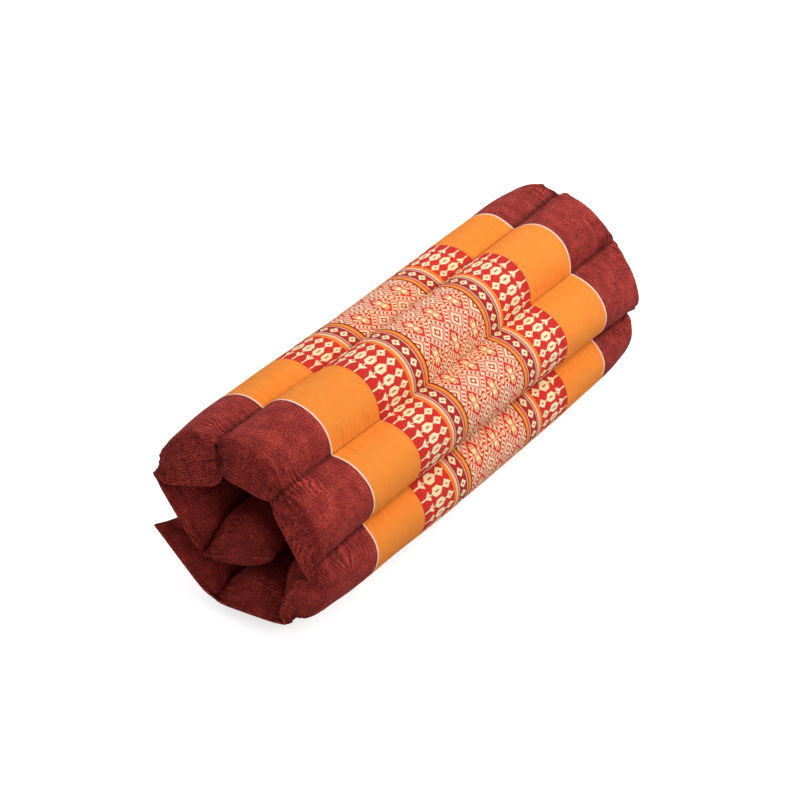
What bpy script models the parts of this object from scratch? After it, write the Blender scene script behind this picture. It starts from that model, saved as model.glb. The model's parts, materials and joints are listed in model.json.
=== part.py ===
"""A roll-up meditation cushion, rolled and lying on its side.

The cushion is one quilted mat of eight filled channels. It is wound into an open spiral,
so each channel is a lobe of the roll, and the seams between them are the valleys.
Units are metres, +Z is up, and the roll lies along Y with its lowest channel on z = 0.
"""

import math
from typing import NamedTuple

import bmesh
import bpy
from mathutils import Vector

# Driving dimensions of the mat
ROLL_LENGTH = 0.500          # end seam to end seam, along the channels
WEB = 0.0030                 # both cloths and their wadding where a seam is sewn through
EDGE_DRAW = 0.008            # how far a free edge is drawn in between its two corners
LOBE_GAP = 0.0012            # left between two lobes that press on each other inside

# Form of the filling
CROWN_POWER = 0.58           # lower is fuller beside the seams
END_POWER = 20.0             # higher keeps the full crown nearer to the ends
END_ROUND = 0.38             # lower is blunter at the end seam
CAGE_SWELL = 1.05            # what the smoothing of the cage takes off the crowns

# Cage of the mat, before it is subdivided
CAGE_ACROSS = 4              # faces across one channel
CAGE_ALONG = 14              # faces along the roll

FLOOR_BLOCK = 0.80           # side of the cutter that flattens the lowest channel


class Seam(NamedTuple):
    """A seam of the mat, or a free edge, where it crosses the roll's two ends.

    The gathers are how far its two ends are drawn in from the ends of the lobes.
    """

    name: str
    near_x: float
    near_z: float
    far_x: float
    far_z: float
    near_gather: float
    far_gather: float


class Channel(NamedTuple):
    """A filled channel, and how far each cloth stands off the line between its seams.

    The end bow is how far its end seams curve from that line, towards the backing.
    """

    name: str
    cover_crown: float
    backing_crown: float
    end_bow: float


# In the mat's order, from the outermost free edge to the one inside the roll
SEAMS = (
    Seam("outer free edge", -0.078, 0.056, -0.077, 0.060, 0.000, 0.000),
    Seam("flap to foot", -0.025, 0.011, -0.029, 0.013, 0.000, 0.002),
    Seam("foot to low right", 0.044, 0.015, 0.039, 0.014, 0.000, 0.002),
    Seam("low right to right", 0.065, 0.074, 0.060, 0.066, 0.000, 0.000),
    Seam("right to top", 0.037, 0.127, 0.037, 0.126, 0.016, 0.001),
    Seam("top to top left", -0.025, 0.148, -0.017, 0.156, 0.000, 0.000),
    Seam("top left to inner wall", -0.078, 0.107, -0.074, 0.114, 0.002, 0.000),
    Seam("inner wall to tongue", -0.036, 0.050, -0.039, 0.054, 0.008, 0.008),
    Seam("inner free edge", 0.033, 0.072, 0.029, 0.072, 0.000, 0.000),
)

CHANNELS = (
    Channel("flap", 0.022, 0.011, 0.000),
    Channel("foot", 0.021, 0.021, 0.006),
    Channel("low right", 0.025, 0.021, 0.010),
    Channel("right", 0.022, 0.021, 0.013),
    Channel("top", 0.023, 0.023, 0.014),
    Channel("top left", 0.023, 0.022, 0.015),
    Channel("inner wall", 0.008, 0.016, 0.000),
    Channel("tongue", 0.013, 0.024, 0.000),
)


def seam_point(index: int, along: float) -> Vector:
    """Place of a seam in the cross-section, with along from -1 at the near end to 1."""
    row = SEAMS[index]
    share = (along + 1) / 2
    near = Vector((row.near_x, row.near_z))
    far = Vector((row.far_x, row.far_z))
    point = near.lerp(far, share)
    if index in (0, len(SEAMS) - 1):
        inner = seam_point(1 if index == 0 else index - 1, along)
        point += (inner - point).normalized() * EDGE_DRAW * (1 - along**4)
    return point


def seam_gather(index: int, along: float) -> float:
    """How far the end of a seam that is nearer to this place is drawn in."""
    row = SEAMS[index]
    return row.near_gather if along < 0 else row.far_gather


def outward(start: Vector, end: Vector) -> Vector:
    """Unit normal on the cover's side of a channel's line, which runs round the roll."""
    line = (end - start).normalized()
    return Vector((line.y, -line.x))


def seam_normal(index: int, along: float) -> Vector:
    """Unit normal on the cover's side of a seam, halfway between its two channels' own."""
    point = seam_point(index, along)
    normal = Vector((0, 0))
    if index > 0:
        normal += outward(seam_point(index - 1, along), point)
    if index < len(SEAMS) - 1:
        normal += outward(point, seam_point(index + 1, along))
    return normal.normalized()


def kept_apart(point: Vector, index: int, along: float, direction: int) -> Vector:
    """Holds a backing point on its own side of the plane where two lobes press together.

    direction is 1 where the point's channel comes after the seam, and -1 before it.
    """
    normal = seam_normal(index, along)
    towards_lobe = Vector((-normal.y, normal.x)) * direction
    distance = (point - seam_point(index, along)).dot(towards_lobe)
    return point + towards_lobe * max(LOBE_GAP / 2 - distance, 0)


def mat_point(around: float, along: float, side: int) -> Vector:
    """Place in the roll of a point of the flat mat.

    around counts channels from the outer free edge, along runs from -1 to 1, and side is
    1 on the cover and -1 on the backing.
    """
    index = min(int(around), len(CHANNELS) - 1)
    across = around - index
    offset = 2 * across - 1

    start = seam_point(index, along) + seam_normal(index, along) * side * WEB / 2
    end = seam_point(index + 1, along) + seam_normal(index + 1, along) * side * WEB / 2
    channel = CHANNELS[index]
    crown = channel.cover_crown if side > 0 else channel.backing_crown
    end_share = abs(along) ** END_POWER
    height = side * crown * CAGE_SWELL * (1 - end_share) ** END_ROUND
    height -= channel.end_bow * end_share
    normal = outward(seam_point(index, along), seam_point(index + 1, along))
    point = start.lerp(end, across) + normal * height * (1 - offset**2) ** CROWN_POWER
    if side < 0 and abs(offset) < 1:
        if index > 0:
            point = kept_apart(point, index, along, 1)
        if index < len(CHANNELS) - 1:
            point = kept_apart(point, index + 1, along, -1)

    nearest = index if offset < 0 else index + 1
    gather = seam_gather(nearest, along) * abs(offset) ** 3
    return Vector((point.x, along * (ROLL_LENGTH / 2 - gather), point.y))


def cosine_step(share: float) -> float:
    """Spreads shares from 0 to 1 so that they crowd at both ends."""
    return (1 - math.cos(math.pi * share)) / 2


def make_material(name: str, colour: tuple, roughness: float) -> bpy.types.Material:
    """A plain cloth."""
    material = bpy.data.materials.new(name)
    material.use_nodes = True
    shader = material.node_tree.nodes["Principled BSDF"]
    shader.inputs["Base Color"].default_value = (*colour, 1)
    shader.inputs["Roughness"].default_value = roughness
    shader.inputs["Metallic"].default_value = 0
    return material


def make_mat_mesh(name: str) -> bpy.types.Mesh:
    """Two cloths of one grid, joined all round by their edge, and wound into the roll."""
    channels = len(CHANNELS)
    flat = bmesh.new()
    bmesh.ops.create_grid(flat, x_segments=channels * CAGE_ACROSS, y_segments=CAGE_ALONG, size=0.5)
    backing = list(flat.verts)
    lifted = bmesh.ops.extrude_face_region(flat, geom=list(flat.faces))["geom"]
    cover = [item for item in lifted if isinstance(item, bmesh.types.BMVert)]

    # The grid's own X and Y, from -0.5 to 0.5, say where each point is on the flat mat.
    columns = {}
    places = {}
    for side, points in ((-1, backing), (1, cover)):
        for point in points:
            step = round((point.co.x + 0.5) * channels * CAGE_ACROSS)
            index, part = divmod(step, CAGE_ACROSS)
            around = index + cosine_step(part / CAGE_ACROSS)
            along = 2 * cosine_step(point.co.y + 0.5) - 1
            columns[point] = step
            places[point] = mat_point(around, along, side)

    crease = flat.edges.layers.float.new("crease_edge")
    for edge in flat.edges:
        first, last = (columns[point] for point in edge.verts)
        is_seam = first == last and first % CAGE_ACROSS == 0
        if is_seam:
            edge[crease] = 1.0
    for point, place in places.items():
        point.co = place
    bmesh.ops.recalc_face_normals(flat, faces=list(flat.faces))

    mesh = bpy.data.meshes.new(name)
    flat.to_mesh(mesh)
    flat.free()
    mesh.shade_smooth()
    return mesh


def make_floor_cutter(collection: bpy.types.Collection) -> bpy.types.Object:
    """The block below z = 0 that gives the lowest channel its flat foot."""
    block = bmesh.new()
    bmesh.ops.create_cube(block, size=FLOOR_BLOCK)
    mesh = bpy.data.meshes.new("floor_cutter")
    block.to_mesh(mesh)
    block.free()
    cutter = bpy.data.objects.new("floor_cutter", mesh)
    cutter.location = (0, 0, -FLOOR_BLOCK / 2)
    cutter.display_type = "WIRE"
    cutter.hide_render = True
    collection.objects.link(cutter)
    return cutter


def make_cushion(collection: bpy.types.Collection, cutter: bpy.types.Object) -> bpy.types.Object:
    """The whole filled and sewn mat, as one closed body."""
    cushion = bpy.data.objects.new("rolled_cushion", make_mat_mesh("rolled_cushion"))
    cushion.data.materials.append(make_material("woven_cotton", (0.33, 0.06, 0.045), 0.85))
    collection.objects.link(cushion)

    smooth = cushion.modifiers.new("filled form", "SUBSURF")
    smooth.levels = 1
    smooth.render_levels = 1
    foot = cushion.modifiers.new("flat foot", "BOOLEAN")
    foot.operation = "DIFFERENCE"
    foot.object = cutter
    return cushion


def main() -> None:
    for old in list(bpy.data.objects):
        bpy.data.objects.remove(old, do_unlink=True)

    parts = bpy.data.collections.new("meditation_cushion")
    cutters = bpy.data.collections.new("cutters")
    bpy.context.scene.collection.children.link(parts)
    bpy.context.scene.collection.children.link(cutters)
    make_cushion(parts, make_floor_cutter(cutters))


main()
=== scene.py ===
"""Looks of a roll-up meditation cushion, rolled and lying on its side.

The cushion is a quilted mat of eight filled channels. Its two cloths are shaped here from
the flat mat, filled by a cloth simulation, gathered at their seams, and dressed. Units are
metres in the row's own frame: the roll lies along Y, with its lowest channel on z = 0.
"""

import json
import logging
import math
from collections.abc import Callable
from dataclasses import dataclass, field
from enum import Enum

import bmesh
import bpy
import numpy as np
from mathutils import Matrix, Vector, noise

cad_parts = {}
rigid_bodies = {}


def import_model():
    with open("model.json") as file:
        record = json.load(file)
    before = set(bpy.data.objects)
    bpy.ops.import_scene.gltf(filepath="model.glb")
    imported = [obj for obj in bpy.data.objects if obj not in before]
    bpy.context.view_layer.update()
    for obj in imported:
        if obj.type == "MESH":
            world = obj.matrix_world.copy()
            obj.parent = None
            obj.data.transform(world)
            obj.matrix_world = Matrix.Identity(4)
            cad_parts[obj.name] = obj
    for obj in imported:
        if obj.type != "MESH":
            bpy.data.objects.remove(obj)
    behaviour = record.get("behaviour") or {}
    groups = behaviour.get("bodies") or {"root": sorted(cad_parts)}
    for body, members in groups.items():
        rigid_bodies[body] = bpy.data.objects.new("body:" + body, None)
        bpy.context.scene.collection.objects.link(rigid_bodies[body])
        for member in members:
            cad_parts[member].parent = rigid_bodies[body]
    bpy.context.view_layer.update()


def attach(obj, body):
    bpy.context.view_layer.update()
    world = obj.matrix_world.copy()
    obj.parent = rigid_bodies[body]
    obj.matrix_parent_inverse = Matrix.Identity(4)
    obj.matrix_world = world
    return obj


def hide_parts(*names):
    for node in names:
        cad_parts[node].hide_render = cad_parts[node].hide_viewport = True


LOG = logging.getLogger("meditation_cushion")
CLOTH_UV = "cloth"
MILLIMETRES = 1000.0
TINY = 1e-9

# How near a place of the mat counts as on a seam, at an end and on a cloth
ON_SEAM = 1e-4
AT_END = 1e-5
ON_CLOTH = 1e-3
TOUCHING = 1e-6

# Length of cloth over one full lobe, by which the woven pattern repeats
REPEAT = 0.0863

# The studio's light bleaches the floor, and the cloth gives back this share of it
CLOTH_SHARE = 0.66

# Kinds of socket that a shader node group takes in and gives out
VECTOR = "NodeSocketVector"
NUMBER = "NodeSocketFloat"
COLOUR = "NodeSocketColor"

Array = np.ndarray
Colour = tuple[float, float, float]
Pair = tuple[float, float]


class Side(Enum):
    """The mat's two cloths. The value is the way each lies from the mat's middle."""

    COVER = 1
    BACKING = -1


@dataclass(frozen=True)
class Seam:
    """A seam of the mat, or a free edge, where it crosses the roll's two ends.

    near and far are its x and z at the two ends. The gathers are how far those ends are
    drawn in from the ends of the lobes. The sag is how much farther its middle lies in x
    and z, where the filling is fullest and the valley deepest. The dip bends the last part
    of the seam before the near end, and the tucks turn its ends in over the lobes' ends.
    A tuck begins at the last stitch, by the tuck's run from the end.
    """

    name: str
    near: Pair
    far: Pair
    gathers: Pair = (0.0, 0.0)
    sag: Pair = (0.0, 0.0)
    dip: Pair = (0.0, 0.0)
    near_tuck: Pair = (0.0, 0.0)
    far_tuck: Pair = (0.0, 0.0)
    tuck_run: float = 0.013


@dataclass(frozen=True)
class Channel:
    """A filled channel, and how far each cloth stands off the line between its seams.

    The cover's crown and its turn are given for the near and the far end. The turn is how
    much of the roll's length the cover needs to come down over the lobe's blunt end. The
    end bow is how far the end edges curve from the line, towards the backing. The weave is
    how far the pattern lies off its even place here, around the roll and along it. The lean
    is how far the filling has sunk towards the seam before the channel, and the swell is
    how much more crown there is halfway along.
    """

    name: str
    cover_crown: Pair
    backing_crown: float
    end_bow: float = 0.0
    weave: Pair = (0.0, 0.0)
    turn: Pair = (0.0105, 0.0105)
    lean: float = 0.0
    swell: float = 0.0


# In the mat's order, from the outermost free edge to the one inside the roll
SEAMS = (
    Seam("outer free edge", (-0.0768, 0.0605), (-0.0770, 0.0600)),
    Seam("flap to foot", (-0.0250, 0.0110), (-0.0290, 0.0130), gathers=(0.004, 0.003)),
    Seam("foot to low right", (0.0440, 0.0150), (0.0390, 0.0140), gathers=(0.002, 0.002),
         sag=(-0.0010, 0.0)),
    Seam("low right to right", (0.0650, 0.0740), (0.0600, 0.0660), gathers=(0.005, 0.004),
         sag=(-0.0032, 0.0004), near_tuck=(0.0015, -0.0110), far_tuck=(0.0008, 0.0010),
         tuck_run=0.018),
    Seam("right to top", (0.0370, 0.1270), (0.0370, 0.1260), gathers=(0.006, 0.001),
         sag=(-0.0004, -0.0036), near_tuck=(-0.0053, -0.0084), far_tuck=(0.0012, 0.0002),
         tuck_run=0.021),
    Seam("top to top left", (-0.0250, 0.1480), (-0.0170, 0.1560), gathers=(0.006, 0.000),
         sag=(0.0022, -0.0048), dip=(-0.0015, -0.0070), near_tuck=(0.0141, -0.0134),
         far_tuck=(0.0030, 0.0012)),
    Seam("top left to inner wall", (-0.0780, 0.1070), (-0.0740, 0.1140),
         gathers=(0.003, 0.002)),
    Seam("inner wall to tongue", (-0.0360, 0.0500), (-0.0390, 0.0540),
         gathers=(0.007, 0.007), dip=(0.0, -0.0020)),
    Seam("inner free edge", (0.0330, 0.0720), (0.0290, 0.0720)),
)

CHANNELS = (
    Channel("flap", (0.0210, 0.0210), 0.0070, end_bow=0.0004, weave=(0.0010, 0.0010),
            turn=(0.0400, 0.0400)),
    Channel("foot", (0.0210, 0.0210), 0.0210, weave=(0.0010, 0.0020),
            turn=(0.0360, 0.0340)),
    Channel("low right", (0.0192, 0.0188), 0.0210, end_bow=0.0080, weave=(0.0015, 0.0025),
            turn=(0.0190, 0.0160), lean=-0.10, swell=0.0058),
    Channel("right", (0.0220, 0.0215), 0.0210, end_bow=-0.0030, weave=(0.0020, 0.0022),
            turn=(0.0105, 0.0140), lean=0.16),
    Channel("top", (0.0230, 0.0215), 0.0230, end_bow=-0.0035, weave=(0.0056, -0.0014),
            turn=(0.0105, 0.0165)),
    Channel("top left", (0.0201, 0.0249), 0.0220, end_bow=0.0076, weave=(0.0040, -0.0041),
            turn=(0.0140, 0.0080), lean=0.12, swell=-0.0030),
    Channel("inner wall", (0.0080, 0.0080), 0.0160, end_bow=0.0030,
            weave=(0.0030, -0.0040)),
    Channel("tongue", (0.0130, 0.0130), 0.0240, weave=(0.0020, -0.0030)),
)


def unit(vectors: Array) -> Array:
    """Rows of vectors brought to length 1."""
    return vectors / np.maximum(np.linalg.norm(vectors, axis=1, keepdims=True), TINY)


def smooth_step(values: Array, low: float, high: float) -> Array:
    """Rises from 0 at low to 1 at high, with soft ends."""
    share = np.clip((values - low) / (high - low), 0, 1)
    return share * share * (3 - 2 * share)


def own_half(pairs: Array, along: Array) -> Array:
    """Picks, from rows of a near and a far value, the one of each place's own half."""
    return np.where(along > 0, pairs[:, 1], pairs[:, 0])


def grown(growth: Pair, share: Array) -> Array:
    """A plain part, and more of it as a share grows."""
    return growth[0] + growth[1] * share


def line_lengths(points: Array) -> Array:
    """How long a line is up to each of its points."""
    steps = np.linalg.norm(np.diff(points, axis=0), axis=1)
    return np.concatenate(([0.0], np.cumsum(steps)))


@dataclass
class RollForm:
    """Where each place of the flat mat lies in the roll.

    A place is counted in channels around, from the outer free edge, and runs along from -1
    at the near end to 1. side is 1 on the cover, -1 on the backing and 0 between them.
    The web is both cloths and their wadding at a seam, and thinner at the very end. A lobe
    comes down to its end edge by its own short turn, and by a long one for the rest, and
    its cross-section is fuller near an end than at its middle. A power is how late a change
    sets in on the way to a seam or an end.
    """

    length: float = 0.500
    web: float = 0.0030
    end_web: float = 0.0016
    end_web_run: float = 0.004
    edge_draw: float = 0.010
    edge_power: float = 10.0
    lobe_gap: float = 0.0012
    crown_power: float = 0.58
    end_fullness: Pair = (0.05, 0.33)
    fullness_run: float = 0.025
    backing_turn: float = 0.026
    long_turn: float = 0.055
    turn_share: float = 0.88
    tuck_power: float = 1.25
    dip_run: float = 0.075
    dip_power: float = 2.0
    gather_power: float = 12.0
    sag_power: float = 4.0
    rim_power: float = 7.0
    off_seam: float = 0.999
    seams: tuple[Seam, ...] = SEAMS
    channels: tuple[Channel, ...] = CHANNELS

    def of_seams(self, name: str, index: Array) -> Array:
        """One value of the seams, such as their sag, for each place."""
        return np.array([getattr(seam, name) for seam in self.seams])[index]

    def of_channels(self, name: str, index: Array) -> Array:
        """One value of the channels, such as their lean, for each place."""
        return np.array([getattr(channel, name) for channel in self.channels])[index]

    def in_channel(self, around: Array) -> tuple[Array, Array]:
        """Which channel each place lies in, and its share of the way across it."""
        index = np.minimum(around.astype(int), len(self.channels) - 1)
        return index, around - index

    def from_end(self, along: Array) -> Array:
        """Distance from the nearer end of the roll."""
        return (1 - np.abs(along)) * self.length / 2

    def end_ease(self, along: Array, run: Array | float, power: float) -> Array:
        """Rises to 1 at the ends over a run of the roll, as one column."""
        return (np.maximum(1 - self.from_end(along) / run, 0) ** power)[:, None]

    def fullness(self, along: Array, turn: Array | float) -> Array:
        """How full a lobe is on its way over its blunt end.

        Args:
            along: How far along the roll each place is.
            turn: How long the short turn is, for each place.

        Returns:
            0 at the end edge, and 1 where the lobe is full.
        """
        reach = self.from_end(along)
        blunt = smooth_step(reach / turn, 0.0, 1.0) * self.turn_share
        return blunt + smooth_step(reach, 0.0, self.long_turn) * (1 - self.turn_share)

    def straight_places(self, index: Array, along: Array) -> Array:
        """Places of seams in the cross-section, straight from one end to the other."""
        share = ((along + 1) / 2)[:, None]
        return self.of_seams("near", index) * (1 - share) + self.of_seams("far", index) * share

    def seam_places(self, index: Array, along: Array) -> Array:
        """Places of seams in the cross-section, with their tucks, dips and drawn edges.

        Args:
            index: Which seam, for each place.
            along: How far along the roll each place is.

        Returns:
            One row of x and z for each place.
        """
        places = self.straight_places(index, along)
        near_half = (along < 0)[:, None]
        tucked = np.where(near_half, self.of_seams("near_tuck", index),
                          self.of_seams("far_tuck", index))
        places += tucked * self.end_ease(along, self.of_seams("tuck_run", index), self.tuck_power)
        dipped = self.of_seams("dip", index) * near_half
        places += dipped * self.end_ease(along, self.dip_run, self.dip_power)
        last = len(self.seams) - 1
        free = ((index == 0) | (index == last))[:, None]
        inner = self.straight_places(np.where(index == 0, 1, last - 1), along)
        drawn = self.edge_draw * (1 - np.abs(along) ** self.edge_power)
        return places + unit(inner - places) * drawn[:, None] * free

    def channel_normals(self, index: Array, along: Array) -> Array:
        """Unit normals on the cover's side of the lines between channels' seams."""
        line = unit(self.seam_places(index + 1, along) - self.seam_places(index, along))
        return np.stack((line[:, 1], -line[:, 0]), axis=1)

    def seam_normals(self, index: Array, along: Array) -> Array:
        """Unit normals on the cover's side of seams, halfway between their channels' own.

        Args:
            index: Which seam, for each place.
            along: How far along the roll each place is.

        Returns:
            One row of x and z for each place.
        """
        last = len(self.channels)
        before = self.channel_normals(np.maximum(index - 1, 0), along) * (index > 0)[:, None]
        after = self.channel_normals(np.minimum(index, last - 1), along)
        return unit(before + after * (index < last)[:, None])

    def kept_apart(self, places: Array, index: Array, along: Array, direction: int) -> Array:
        """Holds places on their own side of the plane where two lobes press together.

        Args:
            places: Rows of x and z.
            index: The seam between the two lobes, for each place.
            along: How far along the roll each place is.
            direction: 1 where the place comes after the seam, and -1 before it.

        Returns:
            The rows of x and z, moved where they were too near.
        """
        normal = self.seam_normals(index, along)
        towards = np.stack((-normal[:, 1], normal[:, 0]), axis=1) * direction
        distance = np.sum((places - self.seam_places(index, along)) * towards, axis=1)
        inside = (index > 0) & (index < len(self.channels))
        push = np.maximum(self.lobe_gap / 2 - distance, 0) * inside
        return places + towards * push[:, None]

    def lobes_apart(self, points: Array, around: Array, along: Array) -> Array:
        """Keeps the mat's lobes from lying in each other.

        Args:
            points: Rows of x, y and z.
            around: Channels around, for each point.
            along: How far along the roll each point is.

        Returns:
            The points, with those of the seams left where they are.
        """
        index, across = self.in_channel(around)
        flat = points[:, (0, 2)]
        kept = self.kept_apart(flat, index, along, 1)
        kept = self.kept_apart(kept, index + 1, along, -1)
        flat = np.where((np.abs(2 * across - 1) < self.off_seam)[:, None], kept, flat)
        return np.stack((flat[:, 0], points[:, 1], flat[:, 1]), axis=1)

    def heights(self, index: Array, across: Array, along: Array, side: Array) -> Array:
        """How far the mat stands off the lines between its channels' seams.

        Args:
            index: Which channel, for each place.
            across: Its share of the way across the channel.
            along: How far along the roll each place is.
            side: 1 on the cover, -1 on the backing and 0 between them.

        Returns:
            The heights, in metres, positive on the cover's side.
        """
        offset = 2 * across - 1
        crowns = self.of_channels("cover_crown", index)
        cover = crowns[:, 0] * (1 - along) / 2 + crowns[:, 1] * (1 + along) / 2
        cover += self.of_channels("swell", index) * (1 - along**2)
        turn = own_half(self.of_channels("turn", index), along)
        full = self.fullness(along, np.where(side > 0, turn, self.backing_turn))
        end_share = np.exp(-self.from_end(along) / self.fullness_run)
        power = self.crown_power - np.where(along < 0, *self.end_fullness) * end_share
        lean = self.of_channels("lean", index) * (side > 0)
        shifted = offset + lean * (1 - offset**2)
        height = side * np.where(side > 0, cover, self.of_channels("backing_crown", index)) * full
        height *= np.maximum(1 - shifted**2, 0) ** power
        straight = np.maximum(1 - np.abs(offset) ** self.rim_power, 0) ** self.crown_power
        return height - self.of_channels("end_bow", index) * (1 - full) * straight

    def points(self, around: Array, along: Array, side: Array) -> Array:
        """Points of the roll for places of the flat mat.

        Args:
            around: Channels around, for each place.
            along: How far along the roll each place is.
            side: 1 on the cover, -1 on the backing and 0 between them.

        Returns:
            One row of x, y and z for each place.
        """
        index, across = self.in_channel(around)
        end_share = np.exp(-self.from_end(along) / self.end_web_run)
        web = self.web + (self.end_web - self.web) * end_share
        half = (side * web / 2)[:, None]
        start = self.seam_places(index, along) + self.seam_normals(index, along) * half
        end = self.seam_places(index + 1, along) + self.seam_normals(index + 1, along) * half
        flat = start + (end - start) * across[:, None]
        height = self.heights(index, across, along, side)
        flat += self.channel_normals(index, along) * height[:, None]
        middle = 1 - along**2
        before = ((1 - across) ** self.sag_power * middle)[:, None]
        after = (across**self.sag_power * middle)[:, None]
        flat += self.of_seams("sag", index) * before + self.of_seams("sag", index + 1) * after

        offset = 2 * across - 1
        gathers = self.of_seams("gathers", np.where(offset < 0, index, index + 1))
        gather = own_half(gathers, along) * np.abs(offset) ** self.rim_power
        y = along * (self.length / 2 - gather * np.abs(along) ** self.gather_power)
        points = np.stack((flat[:, 0], y, flat[:, 1]), axis=1)
        return self.lobes_apart(points, around, along)


@dataclass
class ClothCut:
    """The flat cloth: how the mat's grid is spaced, and where each place is on the cloth.

    Along the roll the grid follows the cloth of a full lobe over its blunt ends, with closer
    rows there. Around it, the columns crowd at the seams. The lobe is measured across at
    the roll's middle, and along its own crown, most closely in the last tenth.
    """

    form: RollForm
    across: int = 10
    rows: int = 140
    end_crowding: float = 0.35
    seam_crowding: float = 0.60
    crown_stretch: float = 0.056
    measured_lobe: int = 3
    girth_samples: int = 400
    line_samples: tuple[int, int] = (200, 800)
    closest: float = 1e-6
    columns: int = field(init=False)
    girth_share: Array = field(init=False)
    girth_length: Array = field(init=False)
    line_along: Array = field(init=False)
    line_length: Array = field(init=False)

    def __post_init__(self) -> None:
        """Measures a full lobe's lines along the roll and across it."""
        self.columns = len(self.form.channels) * self.across
        shares = (1 - np.cos(np.linspace(0, math.pi, self.girth_samples))) / 2
        shares[-1] = 1 - self.closest / 10
        ones = np.ones(len(shares))
        self.girth_share = shares
        self.girth_length = line_lengths(
            self.form.points(self.measured_lobe + shares, ones * 0, ones))
        coarse, fine = self.line_samples
        places = np.concatenate((np.linspace(0, 0.9, coarse),
                                 1 - np.geomspace(0.1, self.closest, fine), [1.0]))
        ones = np.ones(len(places))
        self.line_along = places
        self.line_length = line_lengths(
            self.form.points(ones * (self.measured_lobe + 0.5), places, ones))

    @property
    def half_length(self) -> float:
        """Length of the cloth from the middle to an end seam."""
        return float(self.line_length[-1])

    def row_along(self, row: Array) -> Array:
        """How far along the roll rows of the grid lie.

        Args:
            row: Which row, counted from the near end.

        Returns:
            The places along, from -1 to 1.
        """
        share = 2 * row / self.rows - 1
        crowded = np.sin(share * math.pi / 2)
        share = share * (1 - self.end_crowding) + crowded * self.end_crowding
        reached = np.interp(np.abs(share) * self.half_length, self.line_length, self.line_along)
        return np.sign(share) * reached

    def column_around(self, column: Array) -> Array:
        """Channels around at columns of the grid.

        Args:
            column: Which column, counted from the outer free edge.

        Returns:
            The places around, in channels.
        """
        index, part = np.divmod(column, self.across)
        share = part / self.across
        crowded = (1 - np.cos(math.pi * share)) / 2
        return index + share * (1 - self.seam_crowding) + crowded * self.seam_crowding

    def cloth_places(self, around: Array, along: Array) -> Array:
        """Places on the flat cloth, which the woven pattern follows.

        The pattern repeats with the channels. Its places across one follow the length of the
        cloth over the lobe, with a little more of it down in the valleys.

        Args:
            around: Channels around, for each place.
            along: How far along the roll each place is.

        Returns:
            One row for each place, in metres around the roll and along it.
        """
        channels = self.form.channels
        index = np.minimum(np.floor(around), len(channels) - 1)
        length = np.interp(around - index, self.girth_share, self.girth_length)
        share = length / self.girth_length[-1]
        share += self.crown_stretch * np.sin(2 * math.pi * share) / (2 * math.pi)
        length = np.interp(np.abs(along), self.line_along, self.line_length)
        middles = np.arange(len(channels)) + 0.5
        weave = np.array([channel.weave for channel in channels])
        u = (index + share) * REPEAT - np.interp(around, middles, weave[:, 0])
        v = np.sign(along) * length - np.interp(around, middles, weave[:, 1])
        return np.stack((u, v), axis=1)


def read_points(mesh: bpy.types.Mesh) -> Array:
    """The points of a mesh.

    Args:
        mesh: The mesh.

    Returns:
        One row of x, y and z for each point.
    """
    flat = np.empty(len(mesh.vertices) * 3)
    mesh.vertices.foreach_get("co", flat)
    return flat.reshape(-1, 3)


def write_points(mesh: bpy.types.Mesh, points: Array) -> None:
    """Moves the points of a mesh."""
    mesh.vertices.foreach_set("co", points.astype(np.float32).ravel())
    mesh.update()


def write_numbers(mesh: bpy.types.Mesh, numbers: dict[str, Array]) -> None:
    """Gives each point of a mesh some numbers to carry, by their names."""
    for name, values in numbers.items():
        mesh.attributes.new(name, "FLOAT", "POINT").data.foreach_set("value", values)


def read_places(mesh: bpy.types.Mesh) -> tuple[Array, Array, Array]:
    """Where the points of a mesh lie on the mat.

    Args:
        mesh: A mesh of the mat, whose points carry their places.

    Returns:
        How far around and along each point is, and its side.
    """
    places = []
    for name in ("around", "along", "side"):
        values = np.empty(len(mesh.vertices))
        mesh.attributes[name].data.foreach_get("value", values)
        places.append(values)
    return tuple(places)


def new_object(name: str, data: bpy.types.ID) -> bpy.types.Object:
    """Adds an object to the scene, at the origin.

    Args:
        name: The object's name.
        data: Its mesh, curve, camera or lamp.

    Returns:
        The object.
    """
    piece = bpy.data.objects.new(name, data)
    bpy.context.scene.collection.objects.link(piece)
    return piece


def new_mesh(name: str, source: bmesh.types.BMesh) -> bpy.types.Mesh:
    """A mesh from a bmesh.

    Args:
        name: The mesh's name.
        source: The bmesh, which is freed.

    Returns:
        The mesh.
    """
    mesh = bpy.data.meshes.new(name)
    source.to_mesh(mesh)
    source.free()
    return mesh


def applied(source: bpy.types.Object, name: str) -> bpy.types.Mesh:
    """A new mesh of an object with its modifiers applied.

    Args:
        source: The object, which is removed.
        name: The mesh's name.

    Returns:
        The mesh.
    """
    graph = bpy.context.evaluated_depsgraph_get()
    mesh = bpy.data.meshes.new_from_object(source.evaluated_get(graph))
    mesh.name = name
    bpy.data.objects.remove(source, do_unlink=True)
    return mesh


def round_line(name: str, thickness: float, facets: int) -> bpy.types.Curve:
    """A curve that is as thick as a thread or a hem, with no runs in it yet.

    Args:
        name: The curve's name.
        thickness: Its thickness in metres.
        facets: How finely it is rounded.

    Returns:
        The curve.
    """
    line = bpy.data.curves.new(name, "CURVE")
    line.dimensions = "3D"
    line.bevel_depth = thickness / 2
    line.bevel_resolution = facets
    return line


def close_seams(mesh: bpy.types.Mesh) -> None:
    """Joins points that lie on each other, such as those round an end cap.

    Args:
        mesh: The mesh to close.
    """
    whole = bmesh.new()
    whole.from_mesh(mesh)
    bmesh.ops.remove_doubles(whole, verts=list(whole.verts), dist=TOUCHING)
    bmesh.ops.recalc_face_normals(whole, faces=list(whole.faces))
    whole.to_mesh(mesh)
    whole.free()


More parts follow.
